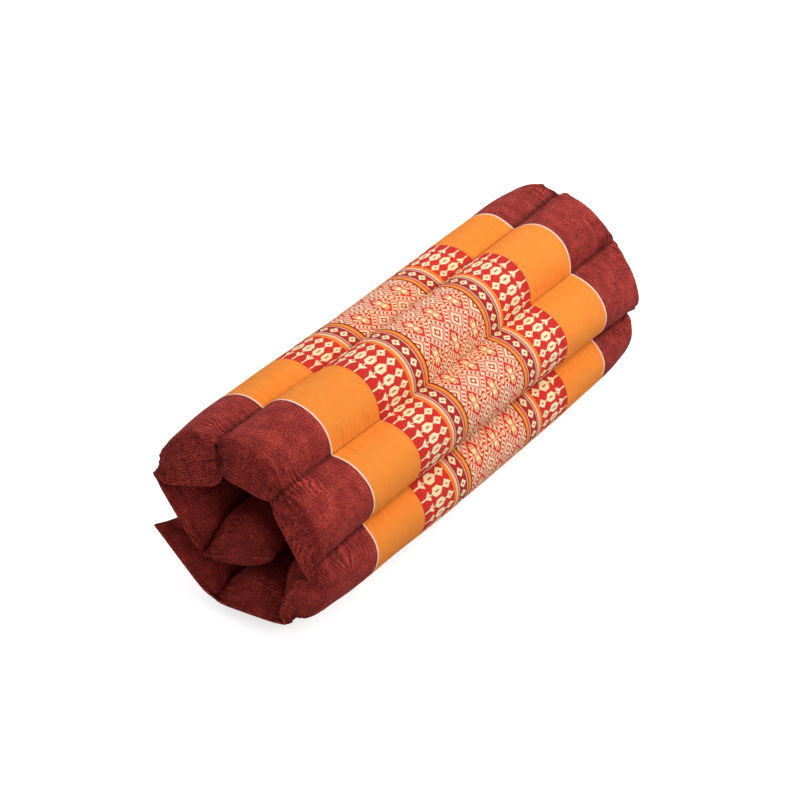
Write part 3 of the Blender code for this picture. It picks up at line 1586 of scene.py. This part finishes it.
class GatheredFolds(Effect):
    """Relief of the fine folds that run out of a seam, on both sides of it."""

    name = "gathered folds"
    inputs = {"Cloth": VECTOR, "By Seam": NUMBER, "By End": NUMBER}
    outputs = {"Height": NUMBER, "Crease": NUMBER}
    pitch = 0.0034
    run = 0.034
    grain = Lumps(1.0, 1.0)
    end_seed = 7.0
    seam_creases = (0.03, 0.16)
    end_creases = (0.05, 0.18)

    def draw(self, wiring: Wiring, given: bpy.types.Node) -> dict[str, object]:
        """Lays the group's nodes.

        Args:
            wiring: The group's tree.
            given: The group's inputs.

        Returns:
            The relief of the folds, and how deep in a crease each place is.
        """
        u, v, _ = wiring.parts(given.outputs["Cloth"])
        by_seam = Signal(wiring, given.outputs["By Seam"])
        by_end = Signal(wiring, given.outputs["By End"])
        at_seam = wiring.cloud(wiring.vector(u / self.run, v / self.pitch), self.grain)
        at_end = wiring.cloud(wiring.vector(u / self.pitch, v / self.run, self.end_seed),
                              self.grain)
        height = (at_seam - 0.5) * by_seam + (at_end - 0.5) * by_end
        crease = (wiring.rise(0.5 - at_seam, *self.seam_creases) * by_seam
                  + wiring.rise(0.5 - at_end, *self.end_creases) * by_end)
        return {"Height": height, "Crease": crease.smaller(1.0)}


@dataclass(frozen=True)
class WovenColours:
    """Yarn colours of the patterned cloth."""

    red: Colour = linear(228, 52, 42)
    deep_red: Colour = linear(190, 38, 40)
    maroon: Colour = linear(126, 22, 22)
    rust: Colour = linear(190, 76, 56)
    salmon: Colour = linear(244, 158, 128)
    cream: Colour = linear(255, 238, 192)
    straw: Colour = linear(252, 234, 172)
    pink: Colour = linear(250, 184, 160)
    orange: Colour = linear(255, 136, 44)
    light_orange: Colour = linear(255, 160, 66)
    pale: Colour = linear(252, 210, 176)
    white: Colour = linear(255, 220, 204)


@dataclass(frozen=True)
class Bands:
    """Where the cloth's bands end, from its middle towards either end."""

    lattice: float = 0.0418
    border: float = 0.0690
    motifs: float = 0.1119
    orange: float = 0.1752
    stripe: float = 0.1769


BANDS = Bands()
YARNS = WovenColours()


class LatticeField(Effect):
    """The middle of the cloth: petalled flowers and stepped diamonds in a slanting lattice.

    A ring is counted from 0 at a flower's heart to 2 at the middle of a diamond. A flower's
    figures are charted in millimetres from its heart.
    """

    name = "lattice field"
    cell_around = REPEAT / 3
    cell_along = 0.0277
    threads_around = 54
    threads_along = 52
    teeth = 2.75
    tooth_share = 0.52
    square_share = 0.48
    ray_turns = 9
    ray_share = 0.55
    heart_size = 2.0
    rust_share = 0.75
    pink_height = 0.5
    flower_ground = 0.84
    tooth_ring = (0.96, 1.25)
    square_ring = (0.98, 1.27)
    pink_rings = ((0.83, 0.95), (1.30, 1.40), (1.48, 1.57))
    thin_ring = (1.40, 1.48)
    cream_ring = (1.57, 1.73)
    red_ring = (1.73, 1.87)

    def flower(self, x: Signal, y: Signal) -> Signal:
        """The petals of a flower.

        Args:
            x: Distance from the flower's heart around the roll, in millimetres.
            y: Distance along the roll, in millimetres.

        Returns:
            The petals' mask.
        """
        combs = x.within(1.3, 4.4) * (y - x * 0.25).below(2.0)
        prongs = y.below(0.6) * x.within(4.0, 8.4)
        prongs = prongs | ((y - 2.3).size().below(0.55) * x.within(4.0, 7.3))
        slope = x * 0.9
        leaves = (y + slope).within(5.4, 10.0) * (y - slope - 3.5).size().below(1.35)
        bars = x.below(0.75) * y.within(6.6, 10.5)
        return combs | prongs | leaves | bars

    def rays(self, wiring: Wiring, x: Signal, y: Signal) -> Signal:
        """Thin strokes that run out of a flower's heart.

        Args:
            wiring: The group's tree.
            x: Distance from the flower's heart around the roll, in millimetres.
            y: Distance along the roll, in millimetres.

        Returns:
            The strokes' mask.
        """
        turn = wiring.math("ARCTAN2", y, x)
        strokes = (turn * (self.ray_turns / math.pi) + 0.5).fraction().below(self.ray_share)
        heart = (x * x + y * y).below(self.heart_size**2)
        return strokes * heart | (x.below(0.45) * y.below(6.0))

    def draw(self, wiring: Wiring, given: bpy.types.Node) -> dict[str, object]:
        """Lays the group's nodes.

        Args:
            wiring: The group's tree.
            given: The group's inputs.

        Returns:
            The cloth's colour, and where its figures stand out.
        """
        u, v, _ = wiring.parts(given.outputs["Cloth"])
        u = u.in_threads(self.cell_around / self.threads_around)
        v = v.in_threads(self.cell_along / self.threads_along)
        x = u.folded(self.cell_around)
        y = (v + self.cell_along / 2).folded(self.cell_along)
        across = x * (2 / self.cell_around)
        along = y * (2 / self.cell_along)
        ring = across + along
        petals = self.flower(x * MILLIMETRES, y * MILLIMETRES)
        rays = self.rays(wiring, x * MILLIMETRES, y * MILLIMETRES)
        steps = (across - along) * self.teeth
        teeth = (steps + 0.25).fraction().below(self.tooth_share)
        teeth = teeth * ring.within(*self.tooth_ring)
        squares = (steps - 0.25).fraction().below(self.square_share)
        squares = squares * ring.within(*self.square_ring)
        centre = ring.above(self.red_ring[1])
        inner, middle, outer = (ring.within(*limits) for limits in self.pink_rings)
        pink = inner | middle | outer
        cream = squares | ring.within(*self.cream_ring) | centre
        colour = wiring.layered(
            YARNS.red,
            (ring.above(self.flower_ground), YARNS.salmon),
            (teeth | ring.within(*self.red_ring), YARNS.red),
            (ring.within(*self.thin_ring) * self.rust_share, YARNS.rust),
            (pink | rays, YARNS.pink),
            (cream, YARNS.cream),
            (petals, YARNS.straw))
        return {"Color": colour, "Raised": cream | petals | pink * self.pink_height}


class MotifBand(Effect):
    """Columns of diamonds, long hexagons and arrows on red, tip to tip.

    Each figure stands at its own place from the cloth's middle, in millimetres, and is
    charted in millimetres from there. Holes are cut out of the middles of figures.
    """

    name = "motif band"
    columns = 9
    threads = 16
    offset = 0.0022
    thread_along = 0.00065
    diamond_place = 75.4
    hexagon_place = 89.2
    arrow_place = 99.2
    stem_reach = (97.0, 111.4)
    flecks = Lumps(620.0, 1.0)
    fleck_range = (0.50, 0.66)
    fleck_share = 0.85
    deeper_range = (96.0, 108.0)
    deeper_share = 0.06

    @classmethod
    def in_columns(cls, u: Signal) -> tuple[Signal, Signal]:
        """Places around the roll, in threads, and how far each is from its column.

        Args:
            u: Places around the roll, in metres.

        Returns:
            The places in steps of a thread, and the distances in millimetres.
        """
        pitch = REPEAT / cls.columns
        u = (u + cls.offset).in_threads(pitch / cls.threads)
        return u, u.folded(pitch) * MILLIMETRES

    def figures(self, x: Signal, out: Signal) -> Signal:
        """The figures of a column.

        Args:
            x: Distance from the column around the roll, in millimetres.
            out: Distance from the cloth's middle along the roll, in millimetres.

        Returns:
            The figures' mask.
        """
        y = (out - self.diamond_place).size()
        diamond = (((x * 1.05 + y * 0.72).below(3.9) | (x.below(0.55) * y.below(5.9)))
                   * (x.below(0.7) * y.below(1.0)).below(0.5))
        y = (out - self.hexagon_place).size()
        hexagon = ((x.below(3.8) * (x + ((y - 2.6) | 0.0) * 0.80).below(4.0) * y.below(7.8))
                   * (x.below(0.55) * y.below(2.7)).below(0.5))
        y = out - self.arrow_place
        arrow = ((x + y * 0.55).below(3.5) * y.above(-0.7) * y.below(6.2)
                 * (x.below(0.6) * (y - 0.3).size().below(0.8)).below(0.5))
        stem = x.below(0.85) * out.within(*self.stem_reach) * (y - 0.3).size().above(1.0)
        return diamond | hexagon | arrow | stem

    def draw(self, wiring: Wiring, given: bpy.types.Node) -> dict[str, object]:
        """Lays the group's nodes.

        Args:
            wiring: The group's tree.
            given: The group's inputs.

        Returns:
            The cloth's colour, and where its figures stand out.
        """
        u, v, _ = wiring.parts(given.outputs["Cloth"])
        u, x = self.in_columns(u)
        out = v.size().in_threads(self.thread_along) * MILLIMETRES
        figures = self.figures(x, out)
        fleck = wiring.cloud(wiring.vector(u, v), self.flecks)
        deeper = wiring.rise(out, *self.deeper_range) * self.deeper_share
        patch = wiring.rise(fleck + deeper, *self.fleck_range)
        colour = wiring.layered(YARNS.red, (patch * self.fleck_share, YARNS.deep_red),
                                (figures, YARNS.cream))
        return {"Color": colour, "Raised": figures}


class Border(Effect):
    """Narrow stripes and a row of diamonds between the motif band and the lattice.

    The row's place and its diamonds are in millimetres. Two of the stripes are dashed.
    """

    name = "border"
    row = 55.1
    dash = 0.0019
    dash_slant = 700.0
    dash_length = 0.45
    dash_share = 0.6
    dashed = ((0.0470, 0.0498), (0.0604, 0.0631))
    stripes = (
        (0.0418, YARNS.maroon), (0.0433, YARNS.orange), (0.0446, YARNS.light_orange),
        (0.0461, YARNS.orange), (0.0470, YARNS.rust), (0.0482, YARNS.pink),
        (0.0498, YARNS.maroon), (0.0508, YARNS.deep_red), (0.0594, YARNS.maroon),
        (0.0604, YARNS.pink), (0.0620, YARNS.rust), (0.0631, YARNS.pale),
        (0.0655, YARNS.orange),
    )

    def striped(self, wiring: Wiring, out: Signal) -> bpy.types.NodeSocket:
        """The stripes.

        Args:
            wiring: The group's tree.
            out: Distance from the cloth's middle along the roll, in metres.

        Returns:
            Their colour.
        """
        width = BANDS.border - BANDS.lattice
        ramp = wiring.node("ShaderNodeValToRGB", Fac=(out - BANDS.lattice) / width)
        ramp.color_ramp.interpolation = "CONSTANT"
        stops = ramp.color_ramp.elements
        for index, (start, colour) in enumerate(self.stripes):
            place = (start - BANDS.lattice) / width
            stop = stops[index] if index < 2 else stops.new(place)
            stop.position = place
            stop.color = (*colour, 1)
        return ramp.outputs[0]

    def draw(self, wiring: Wiring, given: bpy.types.Node) -> dict[str, object]:
        """Lays the group's nodes.

        Args:
            wiring: The group's tree.
            given: The group's inputs.

        Returns:
            The cloth's colour, and where its diamonds stand out.
        """
        u, v, _ = wiring.parts(given.outputs["Cloth"])
        u, x = MotifBand.in_columns(u)
        out = v.size()
        y = (out.in_threads(MotifBand.thread_along) * MILLIMETRES - self.row).size()
        diamonds = (x + y * 0.92).below(3.8) * (x.below(0.6) * y.below(1.2)).below(0.5)
        inner, outer = (out.within(*limits) for limits in self.dashed)
        dashes = (u / self.dash + out * self.dash_slant).fraction().below(self.dash_length)
        dashes = dashes * (inner | outer)
        colour = wiring.layered(self.striped(wiring, out),
                                (dashes * self.dash_share, YARNS.deep_red),
                                (diamonds, YARNS.cream))
        return {"Color": colour, "Raised": diamonds}


def new_material(name: str, **inputs: object) -> tuple[bpy.types.Material, Wiring, bpy.types.Node]:
    """A new material, with plain values set on its shader.

    Args:
        name: The material's name.
        inputs: The shader's values, named as in the editor, with _ for a space.

    Returns:
        The material, its wiring and its shader.
    """
    material = bpy.data.materials.new(name)
    material.use_nodes = True
    wiring = Wiring(material.node_tree)
    shader = material.node_tree.nodes["Principled BSDF"]
    for socket, value in inputs.items():
        wiring.feed(shader.inputs[socket.replace("_", " ")], value)
    return material, wiring, shader


@dataclass(frozen=True)
class ClothFinish:
    """What the finishes of the two cloths share.

    The shades are how much darker the folds' creases and the sewn valleys are.
    """

    roughness: float = 0.86
    gloss: float = 0.10
    thread: float = 0.00048
    thread_depth: float = 0.00022
    fold_depth: float = 0.0044
    relief_strength: float = 0.9
    crease_shade: float = 0.66
    valley_shade: float = 0.74
    valley_range: Pair = (0.3, 1.0)

    def start(self, name: str) -> tuple[bpy.types.Material, Wiring, bpy.types.Node]:
        """A new material, its wiring, and its shader with the plain values set."""
        return new_material(name, Roughness=self.roughness, Specular_IOR_Level=self.gloss)

    def folds(self, wiring: Wiring, cloth: bpy.types.NodeSocket) -> tuple[Signal, Signal]:
        """The gathers, as the finish shows them.

        Args:
            wiring: The material's tree.
            cloth: The place on the flat cloth.

        Returns:
            Their relief, in thread depths, and the tone of their creases.
        """
        folds = GatheredFolds().place(wiring, Cloth=cloth, By_Seam=wiring.attribute("seam_gather"),
                                      By_End=wiring.attribute("end_gather"))
        valley = wiring.rise(wiring.attribute("valley"), *self.valley_range)
        # Painted shade, darker in the creases of the folds and in the sewn valleys
        tone = (1.0 - folds["Crease"] * self.crease_shade) * (1.0 - valley * self.valley_shade)
        return folds["Height"] * (self.fold_depth / self.thread_depth), tone

    def finish(self, wiring: Wiring, shader: bpy.types.Node, colour: object, height: Signal,
               depth: float) -> None:
        """Joins a colour and a relief to the shader.

        Args:
            wiring: The material's tree.
            shader: Its shader.
            colour: The colour.
            height: The relief, in depths.
            depth: The depth in metres.
        """
        wiring.feed(shader.inputs["Base Color"], colour)
        bump = wiring.node("ShaderNodeBump", Height=height, Distance=depth,
                           Strength=self.relief_strength)
        wiring.feed(shader.inputs["Normal"], bump.outputs[0])


@dataclass(frozen=True)
class PatternedCover(ClothFinish):
    """The outer cloth, with its bands across the channels.

    The trough tint is the warm light that two lobes throw on each other beside a seam. On
    the pattern and the plain orange, creases show only by their band share.
    """

    trough_tint: Colour = (1.14, 1.02, 0.86)
    band_share: float = 0.25
    streaks: Lumps = Lumps(140.0, 3.0)
    streak_weights: Pair = (0.80, 0.12)
    wear: Lumps = Lumps(18.0)
    tone_weights: Pair = (0.08, 0.12)
    darkest: float = 0.90
    raised_height: float = 0.9

    def material(self) -> bpy.types.Material:
        """The finish as a material.

        Returns:
            The material.
        """
        material, wiring, shader = self.start("patterned_cotton")
        place = wiring.cloth_place()
        _, v, _ = wiring.parts(place)
        out = v.size()
        lattice = LatticeField().place(wiring, Cloth=place)
        border = Border().place(wiring, Cloth=place)
        motifs = MotifBand().place(wiring, Cloth=place)
        shot = ShotCloth().place(wiring, Cloth=place)
        weave = PlainWeave().place(wiring, Cloth=place, Pitch=self.thread)
        by_streak, by_shade = self.streak_weights
        streaks = wiring.cloud(place, self.streaks) * by_streak + weave["Shade"] * by_shade
        orange = wiring.colour(streaks, YARNS.orange, YARNS.light_orange)
        ends = out.above(BANDS.stripe)
        colour = wiring.layered(
            lattice["Color"],
            (out.above(BANDS.lattice), border["Color"]),
            (out.above(BANDS.border), motifs["Color"]),
            (out.above(BANDS.motifs), orange),
            (out.above(BANDS.orange), YARNS.white),
            (ends, shot["Color"]))
        # Painted warm light beside the sewn seams, kept off the plain dark ends
        trough = wiring.attribute("trough") * (1.0 - ends)
        colour = wiring.colour(trough, colour, wiring.shaded(colour, self.trough_tint))
        relief, painted_shade = self.folds(wiring, place)
        # The painted shade of creases and valleys is weaker on the pattern and the orange
        painted_shade = 1.0 - (1.0 - painted_shade) * (ends * (1.0 - self.band_share) + self.band_share)
        by_shade, by_wear = self.tone_weights
        tone = weave["Shade"] * by_shade + wiring.cloud(place, self.wear) * by_wear + self.darkest
        colour = wiring.shaded(colour, tone * painted_shade)
        raised = (lattice["Raised"] * out.below(BANDS.lattice)
                  + border["Raised"] * out.within(BANDS.lattice, BANDS.border)
                  + motifs["Raised"] * out.within(BANDS.border, BANDS.motifs))
        height = weave["Height"] * (1.0 - ends) + shot["Height"] * ends
        height = height + raised * self.raised_height + relief
        self.finish(wiring, shader, colour, height, self.thread_depth)
        return material


@dataclass(frozen=True)
class PlainBacking(ClothFinish):
    """The shot cloth of the inside of the roll, which follows the flat cloth."""

    wear: Lumps = Lumps(16.0)
    wear_share: float = 0.20
    darkest: float = 0.88

    def material(self) -> bpy.types.Material:
        """The finish as a material.

        Returns:
            The material.
        """
        material, wiring, shader = self.start("shot_cotton")
        place = wiring.cloth_place()
        shot = ShotCloth().place(wiring, Cloth=place)
        relief, painted_shade = self.folds(wiring, place)
        # Random wear, times the painted shade of creases and valleys
        tone = (wiring.cloud(place, self.wear) * self.wear_share + self.darkest) * painted_shade
        colour = wiring.shaded(shot["Color"], tone)
        self.finish(wiring, shader, colour, shot["Height"] + relief, self.thread_depth)
        return material


@dataclass(frozen=True)
class EdgeCloth(ClothFinish):
    """The shot cloth of the turned edge, which is too narrow to follow the flat cloth."""

    wear: Lumps = Lumps(16.0)
    wear_share: float = 0.20
    darkest: float = 0.88

    def material(self) -> bpy.types.Material:
        """The finish as a material.

        Returns:
            The material.
        """
        material, wiring, shader = self.start("edge_cotton")
        place = wiring.node("ShaderNodeTexCoord").outputs["Object"]
        shot = ShotCloth().place(wiring, Cloth=place)
        tone = wiring.cloud(place, self.wear) * self.wear_share + self.darkest
        colour = wiring.shaded(shot["Color"], tone)
        self.finish(wiring, shader, colour, shot["Height"], self.thread_depth)
        return material


@dataclass(frozen=True)
class SewingThread(ClothFinish):
    """Dark twisted thread."""

    twist: float = 2600.0
    ply_depth: float = 0.0001
    wear: Lumps = Lumps(300.0)
    bright_weights: Pair = (0.6, 0.4)
    dark: Colour = linear(120, 30, 24)
    bright: Colour = linear(190, 66, 44)

    def material(self) -> bpy.types.Material:
        """The finish as a material.

        Returns:
            The material.
        """
        material, wiring, shader = self.start("sewing_thread")
        place = wiring.node("ShaderNodeTexCoord").outputs["Object"]
        x, y, z = wiring.parts(place)
        ply = ((x + y + z) * self.twist).wave() * 0.5 + 0.5
        by_ply, by_wear = self.bright_weights
        share = ply * by_ply + wiring.cloud(place, self.wear) * by_wear
        colour = wiring.colour(share, self.dark, self.bright)
        self.finish(wiring, shader, colour, ply, self.ply_depth)
        return material


@dataclass(frozen=True)
class Lamp:
    """A large soft lamp, with its place, the side of its square and its power in watts."""

    name: str
    place: tuple[float, float, float]
    size: float
    power: float


@dataclass
class Studio:
    """The camera of the photograph's view, a pale floor and soft light.

    The focal length is in pixels of the image's width. The floor lies just under the roll,
    and glows a little for the camera alone, so that it shows as pale as paper.
    """

    place: tuple[float, float, float] = (0.9595, -1.449, 1.1185)
    azimuth: float = 34.02
    elevation: float = 31.0
    focal_pixels: float = 2462.0
    image_pixels: float = 800.0
    sensor: float = 36.0
    floor_size: float = 6.0
    floor_level: float = -0.0003
    floor_shade: Colour = (0.5, 0.5, 0.5)
    floor_roughness: float = 0.9
    floor_glow: float = 0.7
    white: Colour = (1.0, 1.0, 1.0)
    surrounding: float = 0.65
    aim: tuple[float, float, float] = (0.0, 0.0, 0.08)
    lamps: tuple[Lamp, ...] = (
        Lamp("key", (0.5, 1.25, 1.35), 1.5, 49.0),
        Lamp("fill", (1.85, -0.5, 1.3), 1.2, 20.0),
        Lamp("left", (-1.4, 0.5, 1.15), 1.3, 11.0),
    )

    def camera(self) -> None:
        """Makes the camera and sets it as the scene's own."""
        azimuth, elevation = math.radians(self.azimuth), math.radians(self.elevation)
        back = Vector((math.sin(azimuth) * math.cos(elevation),
                       -math.cos(azimuth) * math.cos(elevation), math.sin(elevation)))
        right = Vector((math.cos(azimuth), math.sin(azimuth), 0))
        data = bpy.data.cameras.new("camera")
        data.sensor_width = self.sensor
        data.lens = self.focal_pixels / self.image_pixels * self.sensor
        camera = new_object("camera", data)
        turn = Matrix((right, back.cross(right), back)).transposed().to_4x4()
        camera.matrix_world = Matrix.Translation(self.place) @ turn
        bpy.context.scene.camera = camera

    def floor(self) -> None:
        """Makes the plain pale floor."""
        plane = bmesh.new()
        bmesh.ops.create_grid(plane, x_segments=1, y_segments=1, size=self.floor_size)
        mesh = new_mesh("floor", plane)
        mesh.transform(Matrix.Translation((0, 0, self.floor_level)))
        material, wiring, shader = new_material(
            "floor", Base_Color=self.floor_shade, Roughness=self.floor_roughness,
            Emission_Color=self.white)
        seen = Signal(wiring, wiring.node("ShaderNodeLightPath").outputs["Is Camera Ray"])
        wiring.feed(shader.inputs["Emission Strength"], seen * self.floor_glow)
        mesh.materials.append(material)
        new_object("floor", mesh)

    def light(self) -> None:
        """Makes the even surrounding light and the lamps, which face the roll."""
        world = bpy.data.worlds.new("studio")
        world.use_nodes = True
        background = world.node_tree.nodes["Background"]
        background.inputs["Color"].default_value = (*self.white, 1)
        background.inputs["Strength"].default_value = self.surrounding
        bpy.context.scene.world = world
        bpy.context.scene.view_settings.view_transform = "Standard"
        for lamp in self.lamps:
            data = bpy.data.lights.new(lamp.name, "AREA")
            data.size = lamp.size
            data.energy = lamp.power
            place = Vector(lamp.place)
            turn = (Vector(self.aim) - place).to_track_quat("-Z", "Y").to_matrix().to_4x4()
            new_object(lamp.name, data).matrix_world = Matrix.Translation(place) @ turn

    def build(self) -> None:
        """Makes everything around the object."""
        self.camera()
        self.floor()
        self.light()


def main() -> None:
    """Builds the cushion around the packed frame."""
    for old in list(bpy.data.objects):
        bpy.data.objects.remove(old, do_unlink=True)
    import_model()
    Studio().build()

    form = RollForm()
    mat = QuiltedMat(form, ClothCut(form))
    filled = mat.build()
    cover = mat.split(filled, Side.COVER, "patterned_cover")
    backing = mat.split(filled, Side.BACKING, "plain_backing")
    dress(cover, PatternedCover().material(), "patterned_cover")
    dress(backing, PlainBacking().material(), "plain_backing")
    for piece in (cover, backing):
        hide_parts("rolled_cushion")

    edge = TurnedEdge(form).build(filled, "turned_edge")
    dress(edge, EdgeCloth().material(), "patterned_cover")
    stitches = SeamStitching(form).build(filled, "seam_stitches")
    dress(stitches, SewingThread().material(), "seam_thread")
    bpy.data.meshes.remove(filled)


if __name__ == "__main__":
    logging.basicConfig(level=logging.INFO, format="%(message)s")
    main()
